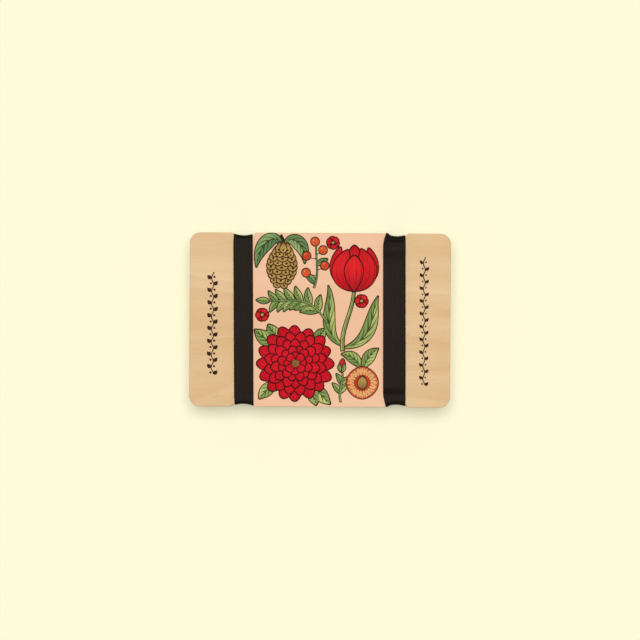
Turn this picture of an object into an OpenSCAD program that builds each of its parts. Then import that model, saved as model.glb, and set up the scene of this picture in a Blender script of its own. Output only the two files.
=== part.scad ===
// Pocket flower press: two plywood plates squeeze a stack of corrugated cards and
// blotting papers, and two elastic bands hold the stack in notches of the long edges.
// Millimetres, +Z up. The origin is the middle of the surface that the press lies on.

/* [Plates] */
// Length of both plates, from end to end
plate_l = 150; // [130:1:190]
// Width of both plates, across the long edges
plate_w = 100; // [85:1:120]
// Thickness of the plywood
plate_t = 4; // [3:0.5:8]
// Radius of the plates' corners
plate_corner_r = 6; // [3:0.5:8]
// Distance from the printed panel's ends, which lie under the bands, to the middle of the notches
panel_tuck = 2; // [0:0.5:5]
// Thickness of the printed panel's ink
ink_t = 0.1; // [0.06:0.02:0.2]

/* [Notches] */
// Distance of each notch from the middle of the plate
notch_x = 44; // [38:0.5:50]
// Width of a notch between its walls
notch_w = 12.4; // [10:0.2:14]
// Depth of a notch below the long edge
notch_depth = 2.3; // [2.2:0.1:3.4]
// Radius of a notch's hollow floor
notch_floor_r = 17; // [15:0.5:30]
// Radius of the lips between a notch's walls and the long edge
notch_lip_r = 0.6; // [0.4:0.1:0.8]

/* [Bands] */
// Clearance on each side between a band and the walls of its notch
band_side_gap = 0.6; // [0.4:0.1:1]
// Distance that the right band spreads inwards between its notches
band_spread = 1.7; // [0.5:0.1:3]
// Length over which that spread eases off before each notch
spread_ease = 8; // [4:0.5:12]
// Thickness of the elastic
band_t = 0.8; // [0.7:0.1:1.6]
// Clearance between a band and the floor of its notch
band_gap = 0.15; // [0.1:0.05:0.3]
// Width of the pressed seam that joins a band's ends
seam_w = 5; // [4:0.5:8]
// Depth of the pressed seam
seam_depth = 0.45; // [0.4:0.05:0.6]
// Diameter of the sewing thread
thread_d = 0.36; // [0.2:0.02:0.38]
// Distance between neighbouring stitches
stitch_pitch = 1.2; // [0.9:0.1:2]
// Margin between the outermost stitch and the band's edge
stitch_margin = 0.8; // [0.6:0.1:1.5]
// Clearance between the thread and the seam's floor
thread_gap = 0.02; // [0.01:0.01:0.05]

/* [Stack] */
// Number of corrugated cards
card_count = 6; // [2:1:8]
// Number of blotting papers between two cards
blotters_per_layer = 2; // [2:2:4]
// Thickness of a corrugated card
card_t = 1.6; // [1.4:0.1:3]
// Thickness of the card's outer papers
liner_t = 0.3; // [0.2:0.05:0.4]
// Thickness of the card's wavy middle paper
flute_t = 0.24; // [0.16:0.02:0.3]
// Length of one wave of the middle paper
flute_pitch = 3.2; // [2.6:0.1:6]
// Depth that each wave is bedded in an outer paper
flute_bed = 0.05; // [0.03:0.01:0.08]
// Distance of the cards inside the floor of the notches
card_side_inset = 1.2; // [0.8:0.1:4]
// Distance of the cards inside the ends of the plates
card_end_inset = 3; // [1:0.5:8]
// Distance that loose cards stray from true
card_stray = 0.5; // [0:0.1:0.6]
// Thickness of a blotting paper
blotter_t = 0.5; // [0.3:0.1:1]
// Distance of the blotting papers inside the edges of the cards
blotter_inset = 0.5; // [0.2:0.1:4]
// Distance that loose blotting papers stray from true
blotter_stray = 0.5; // [0:0.1:0.6]
// Radius of the blotting papers' corners
blotter_corner_r = 4; // [2:0.5:8]

/* [Hidden] */
// Overrun of every cutter past the face that it opens
over = 1;
// Flat steps along a notch's floor and along each of its lips
floor_steps = 16;
lip_steps = 5;
// Flat steps across each band, and along the curve of its spread
band_steps = 16;
spread_steps = 8;
// Angle of each flat step round a band's wrapped edge
wrap_step = 15;
// Flat steps along one flute
flute_steps = 8;
// Turn from one loose sheet to the next that spreads how they stray
stray_turn = 137.5;
$fn = 96;

// Slope of a notch's floor where it meets the walls
notch_slope = asin(notch_w / 2 / notch_floor_r);

blotter_count = (card_count - 1) * blotters_per_layer;
stack_h = card_count * card_t + blotter_count * blotter_t;
panel_l = 2 * (notch_x - panel_tuck);
card_l = plate_l - 2 * card_end_inset;
card_w = plate_w - 2 * (notch_depth + card_side_inset);
blotter_l = card_l - 2 * blotter_inset;
blotter_w = card_w - 2 * blotter_inset;

// Heights, from the surface that the press lies on
base_z = band_t;
stack_z = base_z + plate_t;
lid_z = stack_z + stack_h;
panel_z = lid_z + plate_t;
top_run_z = panel_z + ink_t;

// The bands' width, and where each lies along the press: the right one has slipped to a wall
band_w = notch_w - 2 * band_side_gap;
left_band_x = -notch_x;
right_band_x = notch_x - (band_side_gap - band_gap);

// How far a notch's floor lies below the long edge, at dx from the notch's middle
function notch_drop(dx) = sqrt(pow(notch_floor_r, 2) - pow(dx, 2)) - (notch_floor_r - notch_depth);

// Half the width of a band's inside, at x along the press
function band_reach(x) = plate_w / 2 - notch_drop(abs(x) - notch_x) + band_gap;

// Stations across a band that lies at x
function band_stations(x) = [for (i = [0:band_steps]) x + band_w * (i / band_steps - 1 / 2)];

// Half the length of a band's flat run at each station across it, as pairs of station and reach
function run_stations(x) = [for (s = band_stations(x)) [s, band_reach(s)]];

// The same for the strip by which a band at x is wider between its notches than in them
function spread_stations(x) = [
    for (i = [spread_steps:-1:1])
        let (share = i / spread_steps, inner = x - band_w / 2)
        [inner - band_spread * (1 - pow(1 - share, 2)), band_reach(inner) - share * spread_ease]
];

// Points on one arc, from angle a to angle b clockwise from straight up
function arc_points(centre, r, a, b, steps) =
    [for (i = [0:steps]) let (turn = a + (b - a) * i / steps) centre + r * [sin(turn), cos(turn)]];

// The shape that a notch takes out of the edge at y = 0, with the plate below
module notch() {
    lip = [notch_w / 2 + notch_lip_r, -notch_lip_r];
    polygon(concat(
        [[lip[0], over], [-lip[0], over]],
        arc_points([-lip[0], lip[1]], notch_lip_r, 0, 90, lip_steps),
        arc_points([0, notch_floor_r - notch_depth], -notch_floor_r, notch_slope, -notch_slope, floor_steps),
        arc_points(lip, notch_lip_r, -90, 0, lip_steps)
    ));
}

// A rectangle with round corners, about the origin
module round_rectangle(l, w, r) {
    square([l - 2 * r, w], center = true);
    square([l, w - 2 * r], center = true);
    for (x = [-1, 1], y = [-1, 1])
        translate([x * (l / 2 - r), y * (w / 2 - r)]) circle(r = r);
}

// The outline that both plates share
module plate_outline() {
    difference() {
        round_rectangle(plate_l, plate_w, plate_corner_r);
        for (x = [-notch_x, notch_x], y = [0, 1])
            mirror([0, y]) translate([x, plate_w / 2]) notch();
    }
}

module plate(z) {
    color("burlywood") translate([0, 0, z]) linear_extrude(plate_t) plate_outline();
}

// The ink that covers the top plate between the bands
module printed_panel() {
    color([0.95, 0.75, 0.62]) translate([0, 0, panel_z]) linear_extrude(ink_t)
        intersection() {
            plate_outline();
            square([panel_l, plate_w + 2 * over], center = true);
        }
}

// Joins rings of points into one solid, with a flat cap on the first and on the last ring
module loft(rings) {
    n = len(rings[0]);
    last = (len(rings) - 1) * n;
    polyhedron(
        points = [for (ring = rings) each ring],
        faces = concat(
            [[for (j = [0:n - 1]) j]],
            [for (i = [0:len(rings) - 2], j = [0:n - 1])
                let (a = i * n, b = a + n, k = (j + 1) % n) [a + j, b + j, b + k, a + k]],
            [[for (j = [n - 1:-1:0]) last + j]]
        )
    );
}

// A band's run over the top of a plate at z = 0, with its ends wrapped round the plate's edges
module band_run(stations) {
    near = [for (a = [0:wrap_step:90]) a];
    color([0.16, 0.14, 0.13]) loft([
        for (station = stations)
            let (s = station[0], reach = station[1])
            concat(
                [for (a = near) [s, -reach - band_t * cos(a), band_t * sin(a)]],
                [for (a = near) [s, reach + band_t * sin(a), band_t * cos(a)]]
            )
    ]);
}

// The run under the press, pressed thin at y = 0 where the band's ends are sewn together
module band_bottom(x) {
    difference() {
        translate([0, 0, base_z]) mirror([0, 0, 1]) band_run(run_stations(x));
        translate([x - band_w / 2 - over, -seam_w / 2, -over])
            cube([band_w + 2 * over, seam_w, seam_depth + over]);
    }
}

// The two runs that lie in the notches and stretch when the stack grows
module band_sides(x) {
    stations = band_stations(x);
    color([0.16, 0.14, 0.13]) for (y = [0, 1])
        mirror([0, y]) translate([0, 0, base_z]) linear_extrude(top_run_z - base_z)
            polygon(concat(
                [for (s = stations) [s, band_reach(s)]],
                [for (i = [band_steps:-1:0]) [stations[i], band_reach(stations[i]) + band_t]]
            ));
}

// Zigzag stitches that lie in the pressed seam
module band_stitching(x) {
    count = floor((band_w - 2 * stitch_margin) / stitch_pitch);
    rise = seam_w - 2 * thread_d;
    slant = atan2(stitch_pitch / 2, rise);
    color([0.1, 0.09, 0.09]) for (i = [0:count - 1])
        translate([x + (i - (count - 1) / 2) * stitch_pitch, 0, seam_depth - thread_gap - thread_d / 2])
            rotate([90, 0, i % 2 == 0 ? slant : -slant])
                cylinder(d = thread_d, h = rise, center = true);
}

// How far loose sheet i strays from true, as a share of the full distance each way
function stray_shares(i) = [sin(i * stray_turn), cos(i * stray_turn)];

// Height of the underside of card i, counted from 1 at the bottom of the stack
function card_z(i) = stack_z + (i - 1) * (card_t + blotters_per_layer * blotter_t);

// Height of the underside of blotting paper i
function blotter_z(i) =
    let (layer = floor((i - 1) / blotters_per_layer) + 1, place = (i - 1) % blotters_per_layer)
    card_z(layer) + card_t + place * blotter_t;

// The hollow of one flute, under an outer paper at y = 0
module flute_hollow() {
    swing = card_t / 2 - liner_t - flute_t / 2 + flute_bed;
    start = acos(1 - flute_bed / swing);
    polygon([
        for (i = [0:flute_steps])
            let (a = start + (360 - 2 * start) * i / flute_steps)
            [flute_pitch * (a / 360 - 1 / 2), flute_bed - swing * (1 - cos(a))]
    ]);
}

// A corrugated card whose flutes run across the press and open at its long edges
module card(i) {
    waves = ceil(card_l / flute_pitch / 2);
    shift = card_stray * stray_shares(i);
    color("peru") translate([shift[0], shift[1] + card_w / 2, card_z(i)]) rotate([90, 0, 0])
        linear_extrude(card_w) difference() {
            translate([-card_l / 2, 0]) square([card_l, card_t]);
            for (k = [-waves:waves]) {
                translate([(k + 1 / 2) * flute_pitch, card_t - liner_t]) flute_hollow();
                translate([k * flute_pitch, liner_t]) mirror([0, 1]) flute_hollow();
            }
        }
}

module blotter(i) {
    shift = blotter_stray * stray_shares(i + card_count);
    color("ivory") translate([shift[0], shift[1], blotter_z(i)]) linear_extrude(blotter_t)
        round_rectangle(blotter_l, blotter_w, blotter_corner_r);
}

plate(base_z);  // base_plate
plate(lid_z);  // top_plate
printed_panel();

band_bottom(left_band_x);  // left_band_bottom
band_sides(left_band_x);  // left_band_sides
translate([0, 0, top_run_z]) band_run(run_stations(left_band_x));  // left_band_top
band_stitching(left_band_x);  // left_band_stitching

band_bottom(right_band_x);  // right_band_bottom
band_sides(right_band_x);  // right_band_sides
translate([0, 0, top_run_z]) band_run(concat(spread_stations(right_band_x), run_stations(right_band_x)));  // right_band_top
band_stitching(right_band_x);  // right_band_stitching

for (i = [1:card_count]) card(i);
for (i = [1:blotter_count]) blotter(i);
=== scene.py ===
# %% [markdown]
# # A pocket flower press
#
# The press is two plywood plates with a stack of corrugated cards and blotting papers between them.
# Two elastic bands hold the stack in shallow notches, and the lid carries a printed panel. The solid
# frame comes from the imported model. Everything made here is laid over that frame, in metres, so each
# piece goes where the frame says and nothing is fitted by eye.

# %% Load the frame
import math
import random

import bmesh
import bpy
from mathutils import Matrix, Vector
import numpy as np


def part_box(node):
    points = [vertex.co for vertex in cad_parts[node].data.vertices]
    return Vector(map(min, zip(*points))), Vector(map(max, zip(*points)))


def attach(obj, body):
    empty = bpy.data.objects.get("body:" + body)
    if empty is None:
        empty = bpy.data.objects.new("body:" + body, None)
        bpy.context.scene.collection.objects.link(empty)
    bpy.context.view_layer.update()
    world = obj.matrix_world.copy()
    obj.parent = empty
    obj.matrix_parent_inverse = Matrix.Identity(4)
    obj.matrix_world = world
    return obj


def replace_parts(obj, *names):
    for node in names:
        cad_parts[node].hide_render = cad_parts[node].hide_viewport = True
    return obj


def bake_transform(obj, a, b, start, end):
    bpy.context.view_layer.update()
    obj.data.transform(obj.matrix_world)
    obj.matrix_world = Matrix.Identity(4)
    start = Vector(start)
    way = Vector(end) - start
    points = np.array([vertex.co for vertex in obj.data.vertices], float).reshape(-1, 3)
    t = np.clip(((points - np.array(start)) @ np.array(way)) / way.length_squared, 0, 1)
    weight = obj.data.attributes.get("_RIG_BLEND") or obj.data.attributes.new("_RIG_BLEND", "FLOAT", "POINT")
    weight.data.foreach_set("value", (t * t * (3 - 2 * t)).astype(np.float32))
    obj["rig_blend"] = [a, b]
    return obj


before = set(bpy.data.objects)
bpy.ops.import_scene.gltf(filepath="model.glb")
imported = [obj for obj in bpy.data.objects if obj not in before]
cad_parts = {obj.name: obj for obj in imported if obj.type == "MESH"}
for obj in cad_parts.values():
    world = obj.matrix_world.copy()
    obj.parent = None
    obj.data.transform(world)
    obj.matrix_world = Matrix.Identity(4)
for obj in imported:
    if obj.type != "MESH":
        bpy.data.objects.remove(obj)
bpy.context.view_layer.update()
mm = 0.001
scene = bpy.context.scene

# %% [markdown]
# ## The view
#
# The photograph looks straight down, with the press's length across the picture. One number fixes the
# framing: how many pixels a millimetre takes on top of the lid. A very long lens far away makes the
# view almost parallel, so that no side of the press hides the shadow beside it. The press lies a third
# of a degree askew in the photograph, so the camera is turned by that much.

# %% Camera
picture_px = 640
px_per_mm = 1.74
lens, sensor = 200, 36
askew = math.radians(0.35)

lid_low, lid_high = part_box("top_plate")
picture_width = picture_px / px_per_mm * mm
camera = bpy.data.objects.new("camera", bpy.data.cameras.new("camera"))
camera.data.lens = lens
camera.data.sensor_width = sensor
camera.location = (0, 0, lid_high.z + picture_width * lens / sensor)
camera.rotation_euler = (0, 0, askew)
scene.collection.objects.link(camera)
scene.camera = camera
print("camera height, mm:", round(camera.location.z / mm))

# %% [markdown]
# ## Floor and light
#
# The floor is one large pale sheet, a hair below the bands, so that it shares no plane with them. A
# wide, far lamp stands in for a soft box above the picture's upper edge, so the shadow falls below the
# press and has a soft rim. The world adds even light from all sides. Together they light a level
# surface at just the strength at which a colour comes out as it is written. Part of the floor's colour
# is light that only the camera sees, which makes the shadow as faint as in the photograph.

# %% Colours as they are written in the picture
def srgb(red, green, blue):
    """The linear colour of a picture's 0 to 255 levels."""
    shares = [level / 255 for level in (red, green, blue)]
    return [s / 12.92 if s <= 0.04045 else ((s + 0.055) / 1.055) ** 2.4 for s in shares] + [1]


background = srgb(254, 251, 218)
print("background, linear:", [round(part, 3) for part in background[:3]])


# %% Helpers for shader nodes
def node(tree, kind, **values):
    """A new shader node, with its plain properties and its named sockets set."""
    made = tree.nodes.new("ShaderNode" + kind)
    for name, value in values.items():
        if hasattr(made, name):
            setattr(made, name, value)
        else:
            made.inputs[name.replace("_", " ")].default_value = value
    return made


def link(value, socket):
    """Gives an input an output, a node's first output, a number, or a colour as a picture's levels."""
    if isinstance(value, (int, float)):
        socket.default_value = value
    elif isinstance(value, tuple):
        socket.default_value = srgb(*value)
    else:
        socket.id_data.links.new(value.outputs[0] if hasattr(value, "outputs") else value, socket)


def fed_node(kind, source, socket="Vector", **values):
    """A new shader node in its source's tree, with one of its inputs joined to that source."""
    made = node(source.id_data, kind, **values)
    link(source, made.inputs[socket])
    return made


def maths(operation, a, b=0.0):
    """A math node on two values, each of which is an output, a node or a number."""
    made = node((b if isinstance(a, (int, float)) else a).id_data, "Math", operation=operation)
    link(a, made.inputs[0])
    link(b, made.inputs[1])
    return made


def camera_mix(output_kind, met, seen, share):
    """Ends a tree in a mix: light meets one shader, and the camera sees a share of the other."""
    tree = met.id_data
    from_camera = node(tree, "LightPath").outputs["Is Camera Ray"]
    mix = fed_node("MixShader", maths("MULTIPLY", from_camera, share), "Fac")
    link(met, mix.inputs[1])
    link(seen, mix.inputs[2])
    link(mix, node(tree, output_kind).inputs["Surface"])


# %% World
world_strength = 0.2

scene.view_settings.view_transform = "Standard"
scene.world = bpy.data.worlds.new("studio")
scene.world.use_nodes = True
tree = scene.world.node_tree
tree.nodes.clear()
even = node(tree, "Background", Color=(1, 1, 1, 1), Strength=world_strength)
seen = node(tree, "Background", Color=background, Strength=1)
camera_mix("OutputWorld", even, seen, 1)
print("world strength:", world_strength)

# %% Lamp
lamp_tilt = math.radians(9)
lamp_width = math.radians(34)

lamp = bpy.data.objects.new("soft_box", bpy.data.lights.new("soft_box", "SUN"))
lamp.data.energy = (1 - world_strength) * math.pi / math.cos(lamp_tilt)
lamp.data.angle = lamp_width
lamp.rotation_euler = (-lamp_tilt, 0, 0)
scene.collection.objects.link(lamp)
print("lamp strength:", round(lamp.data.energy, 2))

# %% Floor
floor_size = 4
floor_gap = 0.02 * mm
shadow_share = 0.66

floor_mesh = bmesh.new()
bmesh.ops.create_grid(floor_mesh, x_segments=1, y_segments=1, size=floor_size / 2)
bmesh.ops.translate(floor_mesh, verts=floor_mesh.verts, vec=(0, 0, -floor_gap))
floor = bpy.data.objects.new("floor", bpy.data.meshes.new("floor"))
floor_mesh.to_mesh(floor.data)
floor_mesh.free()
scene.collection.objects.link(floor)

paint = bpy.data.materials.new("floor_paper")
paint.use_nodes = True
tree = paint.node_tree
tree.nodes.clear()
matte = node(tree, "BsdfDiffuse", Color=background)
glow = node(tree, "Emission", Color=background, Strength=1)
camera_mix("OutputMaterial", matte, glow, 1 - shadow_share)
floor.data.materials.append(paint)
print("floor, m across:", floor_size)

# %% [markdown]
# ## Shared effects for the surfaces
#
# Wood, paper, elastic and print need patterns, and each is a small group of texture nodes. A group is
# made once and can be placed in any material with its own values. It puts out masks and heights only,
# and the material decides what they do to the surface.

# %% Helpers for node groups
def pattern_group(name, inputs, outputs):
    """A shader group with a Place input, float inputs {name: value} and float outputs, and its ends."""
    group = bpy.data.node_groups.new(name, "ShaderNodeTree")
    group.interface.new_socket("Place", in_out="INPUT", socket_type="NodeSocketVector")
    for title, value in inputs.items():
        made = group.interface.new_socket(title, in_out="INPUT", socket_type="NodeSocketFloat")
        made.default_value = value
    for title in outputs:
        group.interface.new_socket(title, in_out="OUTPUT", socket_type="NodeSocketFloat")
    return group, group.nodes.new("NodeGroupInput").outputs, group.nodes.new("NodeGroupOutput").inputs


def remapped(value, low, high, new_low=0.0, new_high=1.0):
    """A value moved from one range to another and held inside it."""
    return fed_node("MapRange", value, "Value", From_Min=low, From_Max=high, To_Min=new_low, To_Max=new_high)


def from_middle(value):
    """How far a value lies from the middle of its whole step, from 0 to 0.5."""
    within = maths("FRACT", value)
    return maths("ABSOLUTE", maths("SUBTRACT", within, 0.5))


def moved_by_seed(start):
    """A group's place, moved by its Seed, so that two pieces don't show the same pattern."""
    moved = fed_node("VectorMath", start["Place"], 0, operation="ADD")
    link(start["Seed"], moved.inputs[1])
    return moved


# %% [markdown]
# ### Wood
#
# The plates are faced with rotary cut birch. Its figure runs along the plate as broad, faint waves,
# its pores are short thin dashes, and here and there a growth ring ends in a soft dark line. Noise
# drawn out along one axis gives the first two: a Mapping node with a small scale along the grain
# stretches it. For the rings, a smooth noise is cut into even steps, as a contour map is.

# %% Wood group
wood_group, start, end = pattern_group("wood_pattern", {"Seed": 0.0}, ["Figure", "Fibre", "Pores", "Rings"])
moved = moved_by_seed(start)
wander = fed_node("TexNoise", moved, Scale=9.0, Detail=2.0)
bent = fed_node("VectorMath", wander.outputs["Color"], 0, operation="MULTIPLY_ADD")
bent.inputs[1].default_value = (0.04, 0.012, 0.004)
link(moved, bent.inputs[2])


def drawn_out_noise(scale, detail):
    """Noise on the bent place, stretched by a different scale along each axis."""
    stretch = fed_node("Mapping", bent, Scale=scale)
    return fed_node("TexNoise", stretch, Scale=1.0, Detail=detail)


for title, scale, detail, low, high in (("Figure", (7, 55, 55), 3.0, 0.32, 0.68),
                                        ("Fibre", (60, 1300, 1300), 3.0, 0.3, 0.7),
                                        ("Pores", (170, 2600, 2600), 1.0, 0.66, 0.76)):
    grain = drawn_out_noise(scale, detail)
    link(remapped(grain, low, high), end[title])
rings_per_noise = 11
late_wood = 0.86
turns = maths("MULTIPLY", drawn_out_noise((4, 26, 26), 1.0), rings_per_noise)
within = maths("FRACT", turns)
early = remapped(within, 0.1, late_wood)
late = remapped(within, late_wood, 1.0, 1.0, 0.0)
link(maths("MULTIPLY", early, late), end["Rings"])
print("wood pattern nodes:", len(wood_group.nodes))

# %% [markdown]
# ### Paper
#
# Blotting paper, card and print are felted fibres or ink on them. Two noises are enough: a fine one
# for single fibres and a coarse one for the cloudy look of paper in grazing light.

# %% Paper group
paper_group, start, end = pattern_group("paper_pattern", {"Seed": 0.0}, ["Fibre", "Cloud"])
moved = moved_by_seed(start)
for title, scale, detail, twist in (("Fibre", 1500.0, 4.0, 1.2), ("Cloud", 120.0, 3.0, 0.0)):
    felt = fed_node("TexNoise", moved, Scale=scale, Detail=detail, Distortion=twist)
    link(remapped(felt, 0.3, 0.7), end[title])
print("paper pattern nodes:", len(paper_group.nodes))


# %% Helpers for materials
def new_material(name, roughness, specular):
    """A material with one Principled shader, and the tree and shader to work on."""
    material = bpy.data.materials.new(name)
    material.use_nodes = True
    shader = material.node_tree.nodes["Principled BSDF"]
    shader.inputs["Roughness"].default_value = roughness
    shader.inputs["Specular IOR Level"].default_value = specular
    return material, material.node_tree, shader


def place_of(tree):
    """The coordinates of a surface point in metres, the same on every piece."""
    return node(tree, "TexCoord").outputs["Object"]


def pattern(group, place, **values):
    """The outputs of one use of a shared group."""
    made = fed_node("Group", place, "Place", node_tree=group)
    for name, value in values.items():
        made.inputs[name].default_value = value
    return made.outputs


def blend_colours(mask, low, high):
    """A colour that goes from low to high with a mask. Each is an output, a node or a colour."""
    made = node(mask.id_data, "Mix", data_type="RGBA")
    for value, socket in zip((mask, low, high), [s for s in made.inputs if s.enabled]):
        link(value, socket)
    return [s for s in made.outputs if s.enabled][0]


def tinted(colour, tone, mask, strength):
    """A colour that takes on a share of a tone where a mask says."""
    return blend_colours(maths("MULTIPLY", mask, strength), colour, tone)


def dress(shader, colour, height, depth):
    """Gives the shader its colour, and a height mask as a Bump of the given depth in metres."""
    link(colour, shader.inputs["Base Color"])
    bump = fed_node("Bump", height, "Height", Strength=1.0, Distance=depth)
    link(bump, shader.inputs["Normal"])


# %% [markdown]
# ## Plates
#
# A plate is cut from 4 mm plywood and sanded, so its rims are slightly round and its edge shows the
# plies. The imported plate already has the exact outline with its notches, so a copy of it is cleaned
# of its loose triangles, and a bevel along both rims takes off the sharp corner.

# %% Plywood materials
# A glue line lies this far from the plate's middle, as a share of the plate's thickness.
glue_line = 0.22


def veneer(name, seed, figure, marks, depth, roughness, specular):
    """A surface with the look of birch: the figure's two tones, and a tone for each kind of mark."""
    material, tree, shader = new_material(name, roughness, specular)
    wood = pattern(wood_group, place_of(tree), Seed=seed)
    colour = blend_colours(wood["Figure"], *figure)
    for title, strength, tone in marks:
        colour = tinted(colour, tone, wood[title], strength)
    dress(shader, colour, wood["Fibre"], depth)
    return material


def face_wood(name, seed):
    """Bare veneer, lightly sanded, with its grain along the plate."""
    marks = (("Rings", 0.3, (208, 166, 114)), ("Fibre", 0.2, (206, 165, 116)),
             ("Pores", 0.22, (176, 130, 84)))
    return veneer(name, seed, ((223, 185, 135), (234, 201, 155)), marks, 0.03 * mm, 0.62, 0.3)


def edge_wood(name, seed):
    """The plate's edge: three plies, of which the middle one has its grain across the plate, so that it
    shows specks on the long edges and streaks on the short ones."""
    material, tree, shader = new_material(name, roughness=0.75, specular=0.25)
    place = place_of(tree)
    wood = pattern(wood_group, place, Seed=seed)
    crosswise = fed_node("Mapping", place, Scale=(1, 0.07, 1))
    speckle = fed_node("TexNoise", crosswise, Scale=4200.0, Detail=2.0)
    risen = node(tree, "Attribute", attribute_name="ply").outputs["Fac"]
    off_middle = maths("ABSOLUTE", maths("SUBTRACT", risen, 0.5))
    off_glue = maths("ABSOLUTE", maths("SUBTRACT", off_middle, glue_line))
    inner = remapped(off_middle, glue_line - 0.01, glue_line + 0.01, 1, 0)
    outer = blend_colours(wood["Fibre"], (232, 200, 154), (212, 173, 124))
    core = blend_colours(remapped(speckle, 0.35, 0.65), (180, 133, 86), (208, 164, 114))
    plies = blend_colours(inner, outer, core)
    glue = remapped(off_glue, 0.004, 0.02, 1, 0)
    dress(shader, tinted(plies, (104, 68, 40), glue, 0.75), speckle, 0.05 * mm)
    return material


# %% Helpers for finished pieces
sharp_turn = math.radians(60)


def piece(name, bm, body, materials, smooth=math.radians(30)):
    """Turns a bmesh into an object that rides on a body, smooth except at sharp edges."""
    bmesh.ops.recalc_face_normals(bm, faces=bm.faces)
    mesh = bpy.data.meshes.new(name)
    bm.to_mesh(mesh)
    bm.free()
    mesh.shade_smooth()
    mesh.set_sharp_from_angle(angle=smooth)
    made = bpy.data.objects.new(name, mesh)
    scene.collection.objects.link(made)
    for material in materials:
        mesh.materials.append(material)
    if body:
        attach(made, body)
    print(name, "faces:", len(mesh.polygons))
    return made


def turned_edges(bm):
    """The edges at which the surface turns sharply."""
    return [e for e in bm.edges if e.is_manifold and e.calc_face_angle() > sharp_turn]


def extruded(bm):
    """Gives flat faces an underside, and returns the points of the new side."""
    made = bmesh.ops.extrude_face_region(bm, geom=bm.faces[:])["geom"]
    return {v for v in made if isinstance(v, bmesh.types.BMVert)}


def cleaned_copy(cad_node):
    """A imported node's mesh as a bmesh, with its triangles joined to plain faces."""
    bm = bmesh.new()
    bm.from_mesh(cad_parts[cad_node].data)
    bmesh.ops.remove_doubles(bm, verts=bm.verts, dist=0.002 * mm)
    bmesh.ops.dissolve_limit(bm, angle_limit=math.radians(0.5), verts=bm.verts, edges=bm.edges)
    return bm


# %% Plates with round rims
rim_round = 0.45 * mm
level_within = 0.01 * mm
level_share = 0.6


def plate(name, cad_node, body, seed):
    """A plywood plate with round rims, its faces and its edge in their own materials."""
    bm = cleaned_copy(cad_node)
    low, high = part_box(cad_node)
    rims = [e for e in turned_edges(bm) if abs(e.verts[0].co.z - e.verts[1].co.z) < level_within]
    bmesh.ops.bevel(bm, geom=rims, offset=rim_round, segments=4, profile=0.5, affect="EDGES", material=-1)
    ply = bm.verts.layers.float.new("ply")
    for vert in bm.verts:
        vert[ply] = (vert.co.z - low.z) / (high.z - low.z)
    bm.normal_update()
    for face in bm.faces:
        face.material_index = 0 if abs(face.normal.z) > level_share else 1
    woods = [face_wood(name + "_face", seed), edge_wood(name + "_edge", seed)]
    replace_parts(piece(name, bm, body, woods), cad_node)


plate("base_plate_finished", "base_plate", "base", 3.1)
plate("top_plate_finished", "top_plate", "lid", 0.0)

# %% [markdown]
# ## Printed panel
#
# A flat peach colour is printed on the lid between the bands, and the wood's figure shows through it
# a little. The panel is a thin skin: the imported panel's top face, drawn in so that it keeps off the
# plate's round rims.

# %% Peach print
# The print's darker tone where the wood's rings and fibres show through it. It is grain, not shade.
peach_grain_tone = (230, 174, 136)
peach = veneer("peach_print", 0.0, ((240, 191, 154), (243, 197, 161)),
               (("Rings", 0.12, peach_grain_tone), ("Fibre", 0.12, peach_grain_tone)), 0.02 * mm, 0.7, 0.25)
print("peach print nodes:", len(peach.node_tree.nodes))

# %% Panel piece
skin = 0.04 * mm
panel_low, panel_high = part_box("printed_panel")
panel_level = panel_low.z + skin

bm = cleaned_copy("printed_panel")
level = [f for f in bm.faces if f.normal.z > 0.9]
bmesh.ops.inset_region(bm, faces=level, thickness=0.8 * rim_round, use_even_offset=True)
bmesh.ops.delete(bm, geom=[f for f in bm.faces if f not in level], context="FACES")
bmesh.ops.translate(bm, verts=bm.verts, vec=(0, 0, panel_level - panel_high.z))
bmesh.ops.translate(bm, verts=list(extruded(bm)), vec=(0, 0, -skin))
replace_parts(piece("printed_panel_finished", bm, "lid", [peach]), "printed_panel")
print("panel level, mm:", round(panel_level / mm, 2))

# %% [markdown]
# ## Elastic bands
#
# Each band is one loop of woven elastic, sewn together under the press. A loop that is bent as one
# strip shows how elastic turns over the plates' rims and hollows into the notches. A flat grid is
# made first. Each of its points is then told how far round the press and across the band it lies, and
# goes there. Solidify gives the strip its thickness and a bevel rounds its woven edges.

# %% The notches and the seam
notch_x = 44 * mm
notch_depth = 2.3 * mm
notch_floor_r = 17 * mm
band_t, woven_edge = 0.8 * mm, 0.3 * mm
seam_w, seam_depth = 5 * mm, 0.42 * mm
plate_half = lid_high.y


def notch_reach(x):
    """How far a notch's floor lies from the press's middle line, at x along the press."""
    return plate_half + notch_floor_r - notch_depth - math.sqrt(notch_floor_r ** 2 - (abs(x) - notch_x) ** 2)


def ease(low, high, value):
    """0 below low, 1 above high and a smooth rise between them."""
    share = min(max((value - low) / (high - low), 0), 1)
    return share * share * (3 - 2 * share)


print("half width in the notches, mm:", round(notch_reach(notch_x) / mm, 1))

# %% The way round the press
base_low, base_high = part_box("base_plate")
turn_r = rim_round
wall = 0.03 * mm
run_steps, turn_steps, rise_steps = 80, 6, 6


def run_stations(flat):
    """Distances from the middle of a run to its end: at the seam's edge first, then even."""
    near = [0, seam_w / 4, seam_w / 2, seam_w / 2 + 0.3 * mm]
    rest = flat - near[-1]
    return near + [near[-1] + rest * (k + 1) / run_steps for k in range(run_steps)]


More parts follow.
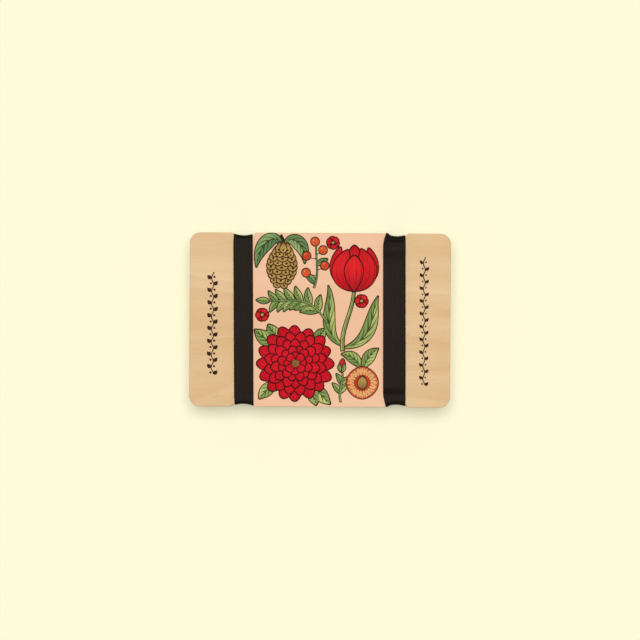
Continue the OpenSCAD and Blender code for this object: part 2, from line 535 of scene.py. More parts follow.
def way_round(reach):
    """Points on a band's inner side, from the seam under the press and once round.

    Each is (y, z, distance along the band). A quarter is drawn and mirrored upwards, then across."""
    low, high = base_low.z, panel_high.z
    flat, rise = reach - turn_r, high - low - 2 * turn_r
    arc = turn_r * math.pi / 2
    points = [(y, low, y) for y in run_stations(flat)[:-1]]
    for k in range(turn_steps):
        a = math.pi / 2 * k / turn_steps
        points.append((flat + turn_r * math.sin(a), low + turn_r * (1 - math.cos(a)), flat + turn_r * a))
    for k in range(rise_steps + 1):
        up = rise / 2 * k / rise_steps
        points.append((reach, low + turn_r + up, flat + arc + up))
    half = 2 * points[-1][2]
    points += [(y, high - (z - low), half - gone) for y, z, gone in points[-2::-1]]
    whole = 2 * points[-1][2]
    return points + [(-y, z, whole - gone) for y, z, gone in points[-2::-1]]


print("points round a band:", len(way_round(plate_half)))

# %% Bends of stretched elastic
def widen_bend(vert, reach, bends):
    """Pulls the outer side in to a bend of a wider radius, because stretched elastic thins there."""
    bend = bends[0] if vert.co.y < 0 else bends[1]
    middle = (panel_high.z + band_t) / 2
    over = abs(vert.co.y) - (reach + band_t - bend)
    up = abs(vert.co.z - middle) - (middle - bend)
    away = math.hypot(over, up)
    if over > 0 and up > 0 and away > bend:
        vert.co.y -= math.copysign(over * (1 - bend / away), vert.co.y)
        vert.co.z -= math.copysign(up * (1 - bend / away), vert.co.z - middle)


# %% Loop of elastic
across_steps = 20


def band_loop(name, side, lean, spread, curl, crown, bends):
    """A closed elastic band that lies askew by lean, with two radii for its bends at low and high y.

    Spread(y, z) widens it inwards, curl(x, y) lifts it off its notch where x is the distance from its
    inner edge, and crown(y, share) lifts it off the lid, where share goes from 0 to 1 across it."""
    left_x, right_x = [corner.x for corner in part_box(f"{side}_band_bottom")]
    bm = bmesh.new()
    uv = bm.loops.layers.uv.new("weave")
    nominal = way_round(notch_reach(notch_x))
    round_steps = len(nominal) - 1

    def reach_at(x, y):
        held = min(max(x - lean * y, left_x), right_x)
        return notch_reach(held + lean * y) + wall + curl(held - left_x, y)

    bmesh.ops.create_grid(bm, x_segments=round_steps, y_segments=across_steps, size=0.5)
    strip = {}
    for vert in bm.verts:
        step, across = round((vert.co.x + 0.5) * round_steps), vert.co.y + 0.5
        near_y, near_z, gone = nominal[step]
        widest_left = left_x - spread(near_y, near_z)
        x = widest_left + (right_x - widest_left) * across
        strip[vert] = (gone, x - left_x)
        x += lean * near_y
        y, z, _ = way_round(reach_at(x, near_y))[step]
        vert.co = (x, y, z + (crown(y, across) if z >= panel_high.z else 0))
    for face in bm.faces:
        for loop in face.loops:
            loop[uv].uv = strip[loop.vert]
    bmesh.ops.remove_doubles(bm, verts=bm.verts, dist=0.001 * mm)
    bm.normal_update()
    if max(bm.faces, key=lambda f: f.calc_center_median().z).normal.z < 0:
        bmesh.ops.reverse_faces(bm, faces=bm.faces)
    bmesh.ops.solidify(bm, geom=bm.faces[:], thickness=-band_t)
    bm.normal_update()
    bmesh.ops.bevel(bm, geom=turned_edges(bm), offset=woven_edge, segments=3, profile=0.5,
                    affect="EDGES", material=-1)
    for vert in bm.verts:
        widen_bend(vert, reach_at(vert.co.x, vert.co.y), bends)
        if vert.co.z < seam_depth and abs(vert.co.y) < seam_w / 2 + 0.1 * mm:
            vert.co.z = seam_depth + vert.co.z * 0.1
    made = piece(name, bm, None, [elastic], sharp_turn)
    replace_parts(made, f"{side}_band_top", f"{side}_band_sides", f"{side}_band_bottom")
    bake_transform(made, f"{side}_band", f"{side}_band_upper", start=(0, 0, base_high.z), end=(0, 0, lid_low.z))


# %% [markdown]
# ### The weave of the elastic
#
# Woven elastic has fine ribs along its length, and each rib is a row of small slanted stitches. The
# bands' UV maps are in real metres, so the pattern follows them round every corner. The group turns
# such a map into a height. The material uses it for relief, and as painted shade that darkens the
# yarn's colour in the hollows of the weave.

# %% Weave group
rib_pitch, stitch_length = 0.8 * mm, 0.9 * mm
weave_group, start, end = pattern_group("weave_pattern", {}, ["Height", "Fuzz"])
axes = fed_node("SeparateXYZ", start["Place"]).outputs
from_crest = from_middle(maths("DIVIDE", axes["Y"], rib_pitch))
crest = remapped(from_crest, 0.28, 0.5, 1, 0)
slanted = maths("MULTIPLY", from_crest, 0.9)
along = maths("DIVIDE", axes["X"], stitch_length)
stitch = from_middle(maths("ADD", along, slanted))
yarn = remapped(stitch, 0.3, 0.5, 1, 0.35)
link(maths("MULTIPLY", crest, yarn), end["Height"])
fuzz = fed_node("TexNoise", start["Place"], Scale=2500.0, Detail=2.0)
link(fuzz, end["Fuzz"])
print("weave pattern nodes:", len(weave_group.nodes))

# %% [markdown]
# ### Black elastic
#
# The yarn is a warm black with a soft sheen, from which most of its light comes, so a level band
# looks dark grey and turns nearly black where it bends away from the lamp. That asks for a very dark
# base colour and a weak but fairly smooth gloss.

# %% Elastic material
elastic, tree, shader = new_material("black_elastic", roughness=0.42, specular=0.075)
shader.inputs["Specular Tint"].default_value = (1, 0.85, 0.72, 1)
weave = pattern(weave_group, node(tree, "UVMap", uv_map="weave"))
# Painted shade: the yarn's colour darkens where the weave is low, in the hollows between ribs and stitches. Its
# crests keep the yarn's own warm black.
yarn_with_painted_shade = blend_colours(weave["Height"], (4, 3, 2), (25, 19, 14))
dress(shader, tinted(yarn_with_painted_shade, (32, 25, 19), weave["Fuzz"], 0.25), weave["Height"], 0.04 * mm)
print("elastic nodes:", len(tree.nodes))

# %% Left band
left_lean, left_bends = -0.011, (2 * mm, 2.6 * mm)
flat_end = notch_reach(notch_x) - turn_r
drawn_in, draw_w = 0.25 * mm, 4 * mm
left_rise, settle_from, settle_to = 0.06 * mm, flat_end - 12 * mm, flat_end - 3 * mm


def narrow(y, z):
    """The left band is only drawn in a little where it turns down into its notches."""
    return -drawn_in * ease(flat_end - draw_w, flat_end, abs(y))


def uncurled(inside, y):
    """Its edges keep to the notch's floor."""
    return 0


def settled(y, across):
    """It lies flat and hardly rises in the middle."""
    return left_rise * (1 - ease(settle_from, settle_to, abs(y)))


band_loop("left_elastic_band", "left", left_lean, narrow, uncurled, settled, left_bends)

# %% Right band
right_lean, right_bends = -0.006, (2.4 * mm, 2.9 * mm)
spread_w, spread_ease = 1.7 * mm, 8 * mm
curl_w, top_curl, low_curl = 3.2 * mm, 0.95 * mm, 0.6 * mm
slack, crest_rise = 0.85 * mm, 0.55 * mm
crest_from, crest_to = 34 * mm, 41 * mm
bow_from, bow_w, bow_power = 41.2 * mm, 6.2 * mm, 1.3
sag_from, sag_to, sag_share = 17 * mm, 37 * mm, 0.15
fold_from, fold_to = 37.9 * mm, 43.3 * mm
outer_drop = 0.4


def widened(y, z):
    """The right band spreads inwards over the lid and is pulled back before each notch."""
    if z < lid_high.z:
        return 0
    from_end = min(max((flat_end + turn_r - abs(y)) / spread_ease, 0), 1)
    return spread_w * (1 - (1 - from_end) ** 2)


def curled(inside, y):
    """Its inner edge is caught on the notch's lip, so it curls up over the last millimetres."""
    return (low_curl if y < 0 else top_curl) * (1 - ease(0, curl_w, inside))


def loose(y, across):
    """It is a little loose and stands off the lid. It bows over the upper edge and sags towards the
    lower one, where it lies down in a sharp fold."""
    if y > 0:
        bow = min(max((y - bow_from) / bow_w, 0), 1)
        height = (slack + crest_rise * ease(crest_from, crest_to, y)) * (1 - bow ** bow_power)
    else:
        height = slack * (1 - sag_share * ease(sag_from, sag_to, -y)) * (1 - ease(fold_from, fold_to, -y))
    return height * (1 - outer_drop * across ** 2)


band_loop("right_elastic_band", "right", right_lean, widened, curled, loose, right_bends)

# %% [markdown]
# ### Sewing thread
#
# A zigzag of thread holds each band's ends together in the pressed seam and dives into the elastic
# at every turn. A curve with a round bevel draws it, and its mesh is taken so that it counts as a
# solid piece.

# %% Thread material
thread, tree, shader = new_material("black_thread", roughness=0.45, specular=0.4)
strand = pattern(paper_group, place_of(tree), Seed=5.0)
twisted = blend_colours(strand["Fibre"], (20, 17, 15), (52, 46, 41))
dress(shader, twisted, strand["Fibre"], 0.05 * mm)
print("thread nodes:", len(tree.nodes))

# %% Zigzag threads
thread_r = 0.18 * mm
stitch_pitch = 1.2 * mm
hole_z = seam_depth + 0.15 * mm


def zigzag(name, side):
    """One continuous thread with a stitch each way along the seam of a band."""
    low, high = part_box(f"{side}_band_stitching")
    count = round((high.x - low.x) / stitch_pitch)
    surface_z = seam_depth - thread_r
    route = []
    for k in range(count):
        first = Vector((low.x + thread_r + k * stitch_pitch, (-1) ** k * low.y, 0))
        step = Vector((stitch_pitch, -2 * first.y, 0))
        for share, z in ((0, hole_z), (0.08, surface_z), (0.5, surface_z - thread_r / 3), (0.92, surface_z)):
            route.append(first + step * share + Vector((0, 0, z)))
    curve = bpy.data.curves.new(name, "CURVE")
    curve.dimensions = "3D"
    curve.bevel_depth = thread_r
    curve.bevel_resolution = 3
    curve.use_fill_caps = True
    spline = curve.splines.new("POLY")
    spline.points.add(len(route) - 1)
    for point, place in zip(spline.points, route):
        point.co = (*place, 1)
    drawn = bpy.data.objects.new(name + "_curve", curve)
    scene.collection.objects.link(drawn)
    bpy.context.view_layer.update()
    bm = bmesh.new()
    bm.from_mesh(drawn.evaluated_get(bpy.context.evaluated_depsgraph_get()).to_mesh())
    bpy.data.objects.remove(drawn)
    made = piece(name, bm, f"{side}_band", [thread], sharp_turn)
    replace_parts(made, f"{side}_band_stitching")


for side in ("left", "right"):
    zigzag(f"{side}_zigzag_thread", side)

# %% [markdown]
# ## Cards and blotting papers
#
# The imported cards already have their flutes, and the papers their round corners, so both keep their
# shape and only get a finish. Brown card shows long dark and pale fibres. Blotting paper is soft and
# thick and has taken up a little colour from the flowers that were pressed in it.

# %% Card and paper materials
def sheet_material(name, pale, dark, stain, stain_strength, depth):
    """Fibrous paper with cloudy stains."""
    material, tree, shader = new_material(name, roughness=0.9, specular=0.15)
    paper = pattern(paper_group, place_of(tree), Seed=1.0)
    fibrous = blend_colours(paper["Fibre"], dark, pale)
    dress(shader, tinted(fibrous, stain, paper["Cloud"], stain_strength), paper["Fibre"], depth)
    return material


kraft = sheet_material("brown_card", (206, 168, 120), (170, 128, 84), (186, 144, 96),
                       0.4, 0.03 * mm)
blotting = sheet_material("blotting_paper", (247, 239, 226), (234, 223, 206), (226, 210, 182),
                          0.25, 0.06 * mm)
print("sheet materials:", kraft.name, blotting.name)

# %% Put the finishes on the sheets
sheets = {name: made for name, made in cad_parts.items() if name.startswith(("card_", "blotter_"))}
for name, sheet in sheets.items():
    sheet.data.materials.clear()
    sheet.data.materials.append(kraft if name.startswith("card_") else blotting)
print("sheets finished:", len(sheets))

# %% [markdown]
# ## The printed design
#
# The panel carries a botanical print: flowers, a cone, a fruit and sprays of leaves in flat colour
# with dark outlines and fine engraved strokes. Each leaf or petal is one flat shape, a grid that is
# bent along a curve and as wide as a rule says, over a slightly larger dark copy that outlines it.
# Each layer of shapes lies a few thousandths of a millimetre above the one before, so they overlap as
# inks do, and all are pulled down to the panel, which makes them solid.

# %% Places and widths
def placed(middle, size, turn=0.0):
    """A function that turns shares of a motif's size, across and up, into a place on the lid."""
    turned = Matrix.Rotation(turn, 2)
    return lambda across, up: Vector(middle) + size * (turned @ Vector((across, up)))


def curve_place(points, share):
    """A place on the smooth curve that a few points pull into shape."""
    while len(points) > 1:
        points = [a.lerp(b, share) for a, b in zip(points, points[1:])]
    return points[0]


def blade(widest, rise=1.0, fullness=1.0):
    """Half the width of a leaf along its length: above 1, rise moves the widest place outwards, and
    below 1, fullness makes the ends blunt."""
    return lambda share: widest / 2 * max(math.sin(math.pi * share ** rise), 0) ** fullness


def stalk(first, last):
    """Half the width of a stalk that tapers from first to last."""
    return lambda share: (first + (last - first) * share) / 2


# %% Shapes of ink
ink_step = 0.005 * mm
outline_w = 0.53 * mm
LINE, PAINT, SECOND, THIRD, FOURTH = range(5)


def shape(bm, spine, half_width, level, material=LINE, tone=0.5, grow=0.0, steps=(14, 4)):
    """One flat shape of ink. Level counts thin layers above the surface that carries it."""
    made = bmesh.ops.create_grid(bm, x_segments=steps[0], y_segments=steps[1], size=0.5, calc_uvs=True)
    tones = bm.verts.layers.float["tone"]
    for vert in made["verts"]:
        share = (1 - math.cos(math.pi * (vert.co.x + 0.5))) / 2
        before = curve_place(spine, max(share - 0.01, 0))
        after = curve_place(spine, min(share + 0.01, 1))
        ahead = (after - before).normalized()
        aside = Vector((-ahead.y, ahead.x)) * 2 * vert.co.y * (half_width(share) + grow)
        place = curve_place(spine, share) + ahead * grow * (2 * share - 1) + aside
        vert[tones] = tone
        vert.co = (place.x, place.y, level * ink_step)
    for face in {face for vert in made["verts"] for face in vert.link_faces}:
        face.material_index = material


def outlined(bm, spine, half_width, level, material=PAINT, tone=0.5, steps=(14, 4)):
    """A painted shape with a dark outline under it. It takes up two levels."""
    shape(bm, spine, half_width, level, LINE, tone, outline_w, steps)
    shape(bm, spine, half_width, level + 1, material, tone, 0.0, steps)


def outlined_set(bm, at, size, form, rows, steps, material=PAINT):
    """Outlined blades of one form. A row holds the points of a spine, then width, level and tone."""
    for *points, widest, level, tone in rows:
        spine = [at(*point) for point in points]
        outlined(bm, spine, blade(widest * size, *form), level, material, tone, steps)


def disc(bm, middle, radius, level, material=LINE, tone=0.5, steps=(14, 4), draw=shape, turn=0.0):
    """A round dot of ink: a blade that is as long as it is wide."""
    at = placed(middle, radius, turn)
    draw(bm, [at(0, -1), at(0, 1)], blade(2 * radius, 1.0, 0.5), level, material, tone, steps=steps)


# %% Start and end of a print
ink_sink = 0.01 * mm


def new_print():
    """An empty bmesh that is ready for shapes of ink."""
    bm = bmesh.new()
    bm.loops.layers.uv.new("shape")
    bm.verts.layers.float.new("tone")
    return bm


def printed(name, bm, inks, surface_z=panel_level):
    """Makes the shapes solid, sets them on the surface and finishes the piece."""
    bmesh.ops.remove_doubles(bm, verts=bm.verts, dist=0.0005 * mm)
    under = extruded(bm)
    for vert in bm.verts:
        vert.co.z = surface_z - ink_sink if vert in under else surface_z + vert.co.z
    piece(name, bm, "lid", inks)


# %% [markdown]
# ### Engraved strokes
#
# Old botanical prints shade with strokes: tapering lines that run out from the base of a petal, or
# veins that lean outwards from a leaf's middle rib. Both come from the shape's own UV map, in which
# U runs from base to tip and V across, so they gather where it narrows. Each group also gives a
# shade, which is a petal's base or one half of a leaf.

# %% Petal strokes
stroke_group, start, end = pattern_group("engraved_strokes", {"Lines": 7.0, "Reach": 0.8},
                                         ["Strokes", "Shade"])
axes = fed_node("SeparateXYZ", start["Place"]).outputs
cells = maths("MULTIPLY", axes["Y"], start["Lines"])
from_line = from_middle(cells)
row = maths("FLOOR", cells)
from_tip = maths("SUBTRACT", 1, axes["X"])
sets = []
for begin, length_share, widest, seed in ((axes["X"], 1.0, 0.22, 7.3), (from_tip, 0.5, 0.2, -342.7)):
    row_noise = fed_node("TexWhiteNoise", maths("ADD", row, seed), "W", noise_dimensions="1D")
    uneven = remapped(row_noise, 0, 1, 0.4 * length_share, 1.2 * length_share)
    length = maths("MULTIPLY", uneven, start["Reach"])
    used = maths("POWER", maths("DIVIDE", begin, length), 2)
    width = maths("MULTIPLY", maths("SUBTRACT", 1, used), widest)
    sets.append(remapped(maths("SUBTRACT", width, from_line), 0, 0.06))
link(maths("MAXIMUM", *sets), end["Strokes"])
link(remapped(axes["X"], 0.05, 0.75, 1, 0), end["Shade"])
print("stroke nodes:", len(stroke_group.nodes))

# %% Leaf veins
vein_group, start, end = pattern_group("leaf_veins", {"Lines": 7.0, "Lean": 1.6}, ["Strokes", "Shade"])
axes = fed_node("SeparateXYZ", start["Place"]).outputs
across = maths("SUBTRACT", axes["Y"], 0.5)
off_rib = maths("ABSOLUTE", across)
steps_up = maths("MULTIPLY", axes["X"], start["Lines"])
leaning = maths("MULTIPLY", off_rib, start["Lean"])
from_vein = from_middle(maths("SUBTRACT", steps_up, leaning))
width = remapped(off_rib, 0, 0.5, 0.24, 0.06)
veins = remapped(maths("SUBTRACT", width, from_vein), 0, 0.06)
rib = remapped(off_rib, 0.03, 0.06, 1, 0)
link(maths("MAXIMUM", veins, rib), end["Strokes"])
link(remapped(across, -0.02, 0.02), end["Shade"])
print("vein nodes:", len(vein_group.nodes))


# %% Inks
def ink(name, dark, light, line=None, group=None, deep=None, **values):
    """Printed colour: a mottled wash, and where a group is given, its shade and its strokes."""
    material, tree, shader = new_material(name, roughness=0.75, specular=0.08)
    mottle = pattern(paper_group, place_of(tree), Seed=2.0)
    tone = node(tree, "Attribute", attribute_name="tone").outputs["Fac"]
    wash = maths("MULTIPLY", maths("ADD", tone, mottle["Cloud"]), 0.5)
    colour = blend_colours(wash, dark, light)
    if group:
        strokes = pattern(group, node(tree, "UVMap", uv_map="shape"), **values)
        colour = tinted(colour, deep, strokes["Shade"], 0.6)
        colour = tinted(colour, line, strokes["Strokes"], 0.85)
    dress(shader, colour, mottle["Fibre"], 0.01 * mm)
    return material


red_line, green_line, brown_line = (46, 8, 12), (24, 36, 20), (48, 28, 14)
line_red = ink("dark_red_line", red_line, (66, 12, 16))
line_green = ink("dark_green_line", green_line, (40, 56, 32))
line_brown = ink("dark_brown_line", brown_line, (66, 42, 22))
red = ink("petal_red", (190, 6, 22), (232, 28, 44), red_line, stroke_group, (140, 2, 18),
          Lines=6.0, Reach=0.85)
orange_red = ink("petal_orange_red", (200, 14, 24), (238, 44, 46), red_line, stroke_group,
                 (152, 4, 20), Lines=7.0, Reach=0.8)
green = ink("leaf_green", (110, 144, 70), (212, 216, 128), green_line, vein_group,
            (78, 116, 58), Lines=8.0, Lean=3.0)
blue_green = ink("leaf_blue_green", (88, 130, 78), (174, 192, 118), green_line, vein_group,
                 (60, 102, 64), Lines=10.0, Lean=3.4)
ochre = ink("scale_ochre", (158, 118, 56), (206, 168, 94), brown_line, stroke_group,
            (122, 88, 40), Lines=7.0, Reach=0.7)
flesh = ink("fruit_flesh", (218, 136, 80), (238, 178, 114))
berry = ink("berry_orange", (190, 52, 30), (226, 96, 50))
print("inks ready")

# %% [markdown]
# ### Dahlia
#
# The largest motif is a dahlia seen from the front: five rings of petals, each shorter than the one
# under it, and a button of small dots. One petal is a single outlined shape, and two loops turn it
# round the middle. Neighbours in a ring lie on two different levels, so they overlap cleanly. A few
# leaves look out from under it.

# %% Dahlia piece
chance = random.Random(4)
dahlia_middle, dahlia_r = (-14 * mm, -25 * mm), 22.3 * mm
dahlia_rings = ((16, 1.0), (16, 0.83), (14, 0.64), (12, 0.46), (8, 0.29))
dahlia_leaves = ((138, 1.36, 0.34), (122, 1.22, 0.28), (-47, 1.38, 0.32), (-63, 1.2, 0.26), (46, 1.16, 0.26),
                 (-133, 1.3, 0.3))
button_r, button_dots, button_dot_r = 2.3 * mm, 30, 0.3 * mm
golden_turn = math.pi * (3 - math.sqrt(5))

bm = new_print()
for k, (degrees, reach, widest) in enumerate(dahlia_leaves):
    at = placed(dahlia_middle, dahlia_r, math.radians(degrees - 90))
    leaf = [at(0, 0.6), at(chance.uniform(-0.12, 0.12), 1.0), at(chance.uniform(-0.08, 0.08), reach)]
    outlined(bm, leaf, blade(widest * dahlia_r, 1.1), 1 + 0.15 * k, THIRD, chance.random(), (18, 6))
for ring, (count, reach) in enumerate(dahlia_rings):
    petal = dahlia_r * reach
    widest = 2 * math.pi * 0.62 * petal / count * 1.4
    for k in range(count):
        at = placed(dahlia_middle, petal, 2 * math.pi * (k + ring / 2) / count + chance.uniform(-0.03, 0.03))
        spine = [at(0, 0.1), at(chance.uniform(-0.08, 0.08), 0.6), at(0, chance.uniform(0.95, 1.0))]
        tone = 0.25 + 0.12 * ring + chance.uniform(0, 0.3)
        outlined(bm, spine, blade(widest, 1.6, 0.62), 4 * ring + 2 * (k % 2) + 3, tone=tone)
button_level = 4 * len(dahlia_rings) + 3
disc(bm, dahlia_middle, button_r, button_level)
at = placed(dahlia_middle, button_r)
for k in range(button_dots):
    turn, off = k * golden_turn, 0.93 * math.sqrt((k + 0.5) / button_dots)
    middle = at(off * math.cos(turn), off * math.sin(turn))
    disc(bm, middle, button_dot_r, button_level + 1, SECOND, chance.random(), (6, 2))
printed("printed_dahlia", bm, [line_red, red, ochre, green])

# %% [markdown]
# ### Cup flower
#
# Beside it stands a cup-shaped flower on a stem, seen from the side, with two long leaves. Its petals
# are drawn from the back of the cup to the front. All its points are shares of the flower's height.

# %% Cup flower piece
cup_base, cup_h = (19.5 * mm, 17 * mm), 26.5 * mm
cup_leaves = (
    ((-0.24, -1.2), (-0.75, -0.9), (-0.42, -0.35), (-0.56, 0.1), 0.24, 1, 0.5),
    ((-0.24, -1.25), (0.5, -1.1), (0.34, -0.5), (0.52, -0.12), 0.27, 3, 0.5),
)
cup_petals = (
    ((0, 0.06), (0.02, 0.5), (0, 0.98), 0.44, 7, 0.1),
    ((-0.03, 0.04), (-0.52, 0.3), (-0.3, 0.94), 0.32, 9, 0.2),
    ((0.03, 0.04), (0.52, 0.3), (0.31, 0.92), 0.32, 11, 0.25),
    ((-0.02, 0), (-0.46, 0.3), (-0.13, 0.88), 0.42, 13, 0.45),
    ((0.02, 0), (0.46, 0.28), (0.14, 0.9), 0.42, 15, 0.5),
    ((0, -0.02), (-0.02, 0.4), (0.01, 0.76), 0.4, 17, 0.75),
)

at = placed(cup_base, cup_h)
bm = new_print()
stem = [at(0, 0.02), at(-0.02, -0.5), at(-0.3, -0.8), at(-0.24, -1.3)]
shape(bm, stem, stalk(1.3 * mm, 1.8 * mm), 5, grow=outline_w, steps=(24, 2))
shape(bm, stem, stalk(1.3 * mm, 1.8 * mm), 6, SECOND, 0.6, steps=(24, 2))
outlined_set(bm, at, cup_h, (0.9,), cup_leaves, (26, 6), SECOND)
outlined_set(bm, at, cup_h, (1.15, 0.75), cup_petals, (20, 6))
printed("printed_cup_flower", bm, [line_red, orange_red, green])

# %% [markdown]
# ### Cone
#
# A cone hangs from a twig between two leaves. Its scales overlap like roof tiles, so the rows are
# laid from the tip upwards. Within a row the scales stand round the cone, and those at its sides look
# narrower, which the cosine of their angle gives.

# %% Cone piece
cone_middle, cone_h = (-22 * mm, 32 * mm), 23.5 * mm
cone_rows = 9
cone_leaves = (
    ((0, 0.5), (-0.28, 0.8), (-0.62, 0.42), (-0.62, -0.12), 0.34, 1, 0.3),
    ((0, 0.5), (0.22, 0.78), (0.56, 0.5), (0.55, 0.06), 0.32, 3, 0.7),
)

at = placed(cone_middle, cone_h, math.radians(-4))
bm = new_print()
outlined_set(bm, at, cone_h, (1.05,), cone_leaves, (24, 6), SECOND)
shape(bm, [at(0, 0.4), at(0.02, 0.6), at(-0.1, 0.7)], stalk(1.5 * mm, 2.2 * mm), 5, steps=(8, 2))
for row in range(cone_rows):
    risen = row / (cone_rows - 1)
    up = -0.46 + 0.86 * risen
    half = 0.34 * math.sin(math.pi * (0.13 + 0.73 * risen))
    count = 2 + (row > 1) + row % 2
    for k in range(count):
        angle = math.radians(150) * ((k + 0.5) / count - 0.5)
        x = half * math.sin(angle)
        spine = [at(0.85 * x, up + 0.13), at(x, up), at(1.08 * x, up - 0.12)]
        widest = cone_h * (0.07 + 0.95 * half / count * math.cos(angle) * 2)
        level = 7 + 5 * row + 2.5 * (k % 2)
        outlined(bm, spine, blade(widest, 1.5, 0.55), level, tone=0.35 + 0.4 * math.cos(angle), steps=(12, 4))
        boss = [at(1.02 * x, up - 0.03), at(1.05 * x, up - 0.085)]
        shape(bm, boss, blade(0.3 * widest, 1.0, 0.5), level + 2, steps=(6, 2))
printed("printed_cone", bm, [line_brown, ochre, blue_green])

# %% [markdown]
# ### Halved fruit
#
# A round fruit is shown cut in half: skin, flesh with short uneven strokes, a red blush and the
# stone. Each is a disc, which is a blade shape as long as it is wide. Two leaves stand behind it.

# %% Halved fruit piece
fruit_middle, fruit_r = (24.5 * mm, -36 * mm), 9.6 * mm
fruit_leaves = (
    ((0, 0.8), (-0.5, 1.75), (-1.25, 1.7), 0.62, 1, 0.3),
    ((0.05, 0.8), (0.3, 1.7), (0.95, 2.05), 0.66, 3, 0.6),
)
fruit_discs = ((1.0, LINE, 5, 0), (0.95, FOURTH, 6, 0.5), (0.88, PAINT, 7, 0.9), (0.5, FOURTH, 8, 0.2))
stroke_count = 60

at = placed(fruit_middle, fruit_r)
bm = new_print()
outlined_set(bm, at, fruit_r, (0.95,), fruit_leaves, (18, 6), SECOND)
for size, material, level, tone in fruit_discs:
    disc(bm, fruit_middle, size * fruit_r, level, material, tone, (28, 6))
for k in range(stroke_count):
    turn = 2 * math.pi * k / stroke_count + chance.uniform(-0.03, 0.03)
    away = Vector((math.cos(turn), math.sin(turn)))
    ends = (0.88, chance.uniform(0.6, 0.8)) if k % 3 else (0.42, chance.uniform(0.6, 0.76))
    shape(bm, [at(*(away * share)) for share in ends], stalk(0.42 * mm, 0.08 * mm), 10, steps=(3, 1))
outlined(bm, [at(0, -0.36), at(0, 0.38)], blade(0.56 * fruit_r, 0.9, 0.7), 11, THIRD, 0.4)
printed("printed_fruit", bm, [line_brown, flesh, green, ochre, berry])

# %% [markdown]
# ### Sprays of leaves and berries
#
# Three small sprigs fill the spaces: a laurel spray, a sprig of berries and a bud. Each has a bent
# stalk, and its leaves stand out from the stalk at an angle on alternate sides.

# %% Sprigs
def sprig_stalk(bm, spine, thick, level, material):
    """A stalk with its outline."""
    shape(bm, spine, stalk(thick, 0.6 * thick), level, grow=0.6 * outline_w, steps=(24, 2))
    shape(bm, spine, stalk(thick, 0.6 * thick), level + 1, material, 0.4, steps=(24, 2))


def sprig_leaves(bm, spine, shares, length, lean, level, material, both=True):
    """Leaves along a stalk, in pairs or on alternate sides, shorter towards its tip."""
    for k, share in enumerate(shares):
        base = curve_place(spine, share)
        ahead = curve_place(spine, min(share + 0.02, 1)) - curve_place(spine, share - 0.02)
        for side in (1, -1) if both else ((1, -1)[k % 2],):
            turn = math.atan2(-ahead.x, ahead.y) + side * lean
            at = placed(base, length * (1.08 - 0.35 * share) * chance.uniform(0.92, 1.05), turn)
            leaf = [at(0, 0), at(side * 0.16, 0.5), at(0, 1)]
            blade_w = 0.4 * length * (1.1 - 0.35 * share)
            outlined(bm, leaf, blade(blade_w, 0.9), level + 0.3 * k + (side > 0) * 0.15, material,
                     chance.uniform(0.2, 0.9), steps=(14, 6))


# %% Laurel spray
at = placed((4 * mm, -1.5 * mm), 36 * mm)
spray = [at(0, 0), at(-0.3, 0.5), at(-0.62, 0.32), at(-0.92, 0.34)]
bm = new_print()
sprig_leaves(bm, spray, [0.14, 0.28, 0.42, 0.56, 0.7, 0.84], 10 * mm, math.radians(48), 1, PAINT)
tip = placed(spray[-1], 7.5 * mm, math.radians(86))
outlined(bm, [tip(0, 0), tip(0, 0.5), tip(0, 1)], blade(3.4 * mm, 0.9), 4, steps=(14, 6))
sprig_stalk(bm, spray, 0.9 * mm, 7, PAINT)
printed("printed_laurel", bm, [line_green, green])

# %% Berry sprig
berry_r = 2.3 * mm
berry_places = ((0.28, -0.18, 0.34), (0.4, 0.24, 0.5), (0.66, -0.17, 0.72), (0.76, 0.2, 0.85),
                (0.97, 0.02, 1.04))
stalk_sag = Vector((0, -1.2 * mm))

at = placed((-3.6 * mm, 18.5 * mm), 25.5 * mm)
sprig = [at(0, 0), at(0.14, 0.35), at(0.02, 0.66), at(0.05, 1.0)]
bm = new_print()
sprig_leaves(bm, sprig, [0.08, 0.5], 8 * mm, math.radians(62), 1, PAINT, both=False)
sprig_stalk(bm, sprig, 0.8 * mm, 5, PAINT)
for share, across, up in berry_places:
    foot, middle = curve_place(sprig, share), at(across, up)
    spine = [foot, (foot + middle) / 2 + stalk_sag, middle]
    shape(bm, spine, stalk(0.5 * mm, 0.4 * mm), 7, steps=(10, 1))
    turn = chance.uniform(-0.5, 0.5)
    disc(bm, middle, berry_r, 8, SECOND, chance.random(), (16, 6), outlined, turn)
    dot = placed(middle, berry_r, turn)
    glint = [dot(-0.45, 0.15), dot(-0.35, 0.5), dot(-0.05, 0.62)]
    shape(bm, glint, blade(0.5 * mm), 10, THIRD, 1.0, steps=(8, 2))
    shape(bm, [dot(0.05, -0.75), dot(0.1, -0.5)], blade(0.6 * mm), 10, steps=(6, 2))
printed("printed_berries", bm, [line_green, blue_green, berry, flesh])

# %% Bud sprig
at = placed((12.2 * mm, -47 * mm), 22 * mm)
sprig = [at(0, 0), at(-0.1, 0.35), at(0.12, 0.6), at(0.02, 0.8)]
bm = new_print()
sprig_leaves(bm, sprig, [0.22, 0.5], 7.5 * mm, math.radians(38), 1, PAINT)
sprig_stalk(bm, sprig, 0.9 * mm, 4, PAINT)
outlined(bm, [at(0.02, 0.8), at(0.03, 0.95), at(0.05, 1.12)], blade(3.4 * mm, 1.0, 0.7), 6, SECOND, 0.6)
for side in (-1, 1):
    cup = [at(0.02, 0.78), at(0.02 + side * 0.09, 0.88), at(0.02 + side * 0.05, 0.99)]
    outlined(bm, cup, blade(1.7 * mm, 0.9), 8 + (side > 0), PAINT, 0.5)
printed("printed_bud", bm, [line_green, green, orange_red])

# %% [markdown]
# ### Small blossoms
#
# Three red blossoms of six round petals fill the last gaps. Their petals overlap by turns, as the
# dahlia's do.

# %% Blossoms
blossoms = (((7.2 * mm, 44.4 * mm), 3.5 * mm, 0.2), ((-33.2 * mm, 2.8 * mm), 3.6 * mm, 0.6),
            ((23.8 * mm, 11 * mm), 3.6 * mm, 0.4))

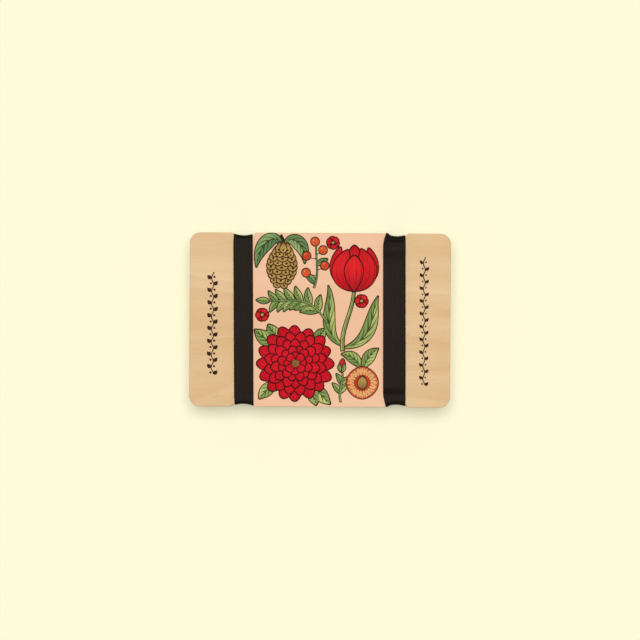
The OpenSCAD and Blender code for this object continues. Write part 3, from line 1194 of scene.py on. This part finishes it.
bm = new_print()
for middle, size, turn in blossoms:
    for k in range(6):
        at = placed(middle, size, turn + k * math.pi / 3)
        spine = [at(0, 0.05), at(0, 0.55), at(0, 1)]
        outlined(bm, spine, blade(0.95 * size, 1.5, 0.6), 1 + 2 * (k % 2), tone=chance.random())
    disc(bm, middle, 0.24 * size, 5, SECOND, 0.8, (10, 4), outlined)
printed("printed_blossoms", bm, [line_red, orange_red, ochre])

# %% [markdown]
# ### Leaf vines on the bare wood
#
# Left and right of the bands, a slender vine of dark brown leaves runs up the bare wood. It is a wavy
# stalk with a leaf at each bend, and the same rule draws both vines.

# %% Vines
def vine(name, middle_x, low_y, high_y, width, waves, bold):
    """A wavy stalk with a leaf on the outside of every bend. Bold makes its strokes heavier."""
    bm = new_print()
    bends = 2 * waves
    rise = (high_y - low_y) / bends
    sway = 0.1 * width
    joints = [Vector((middle_x + sway * (1, -1)[k % 2], low_y + rise * k)) for k in range(bends + 1)]
    half_rise = Vector((0, rise / 2))
    for k, (first, second) in enumerate(zip(joints, joints[1:])):
        side = (1, -1)[k % 2]
        spine = [first, first + half_rise, second - half_rise, second]
        shape(bm, spine, stalk(0.5 * mm, 0.5 * mm), 1 + 0.1 * (k % 2), grow=0.05 * mm, steps=(8, 1))
        at = placed(first, 0.5 * width - sway, -side * math.radians(chance.uniform(44, 52)))
        leaf = [at(0, 0), at(side * 0.3, 0.55), at(0, 1.35)]
        shape(bm, leaf, blade(0.36 * width * bold, 0.85), 2, steps=(12, 4))
        middle = first + Vector((-side * 0.28 * width, 0.2 * rise))
        disc(bm, middle, 0.1 * width * bold, 2, steps=(8, 2))
    printed(name, bm, [line_brown], lid_high.z)


vine("left_leaf_vine", -61.8 * mm, -31.3 * mm, 27.3 * mm, 5.8 * mm, 8, 1.15)
vine("right_leaf_vine", 59.8 * mm, -37.1 * mm, 36.5 * mm, 5.2 * mm, 10, 1.0)

# %% [markdown]
# ## Set out the nodes and finish
#
# A material should read from left to right, so each node goes one column left of whatever it feeds.

# %% Node columns
column_w, row_h = 220, 260


def set_out(tree):
    """Puts each node one column left of the nodes that it feeds, and the columns' nodes in rows."""
    column = dict.fromkeys(tree.nodes.keys(), 0)
    for _ in tree.nodes:
        for joint in tree.links:
            far = joint.from_node.name
            column[far] = max(column[far], column[joint.to_node.name] + 1)
    filled = [0] * (max(column.values()) + 1)
    for name, k in column.items():
        tree.nodes[name].location = (-column_w * k, -row_h * filled[k])
        filled[k] += 1


trees = [scene.world.node_tree, *bpy.data.node_groups]
trees += [material.node_tree for material in bpy.data.materials if material.node_tree]
for tree in trees:
    set_out(tree)
print("node trees set out:", len(trees))

# %% Finish
bpy.context.view_layer.update()
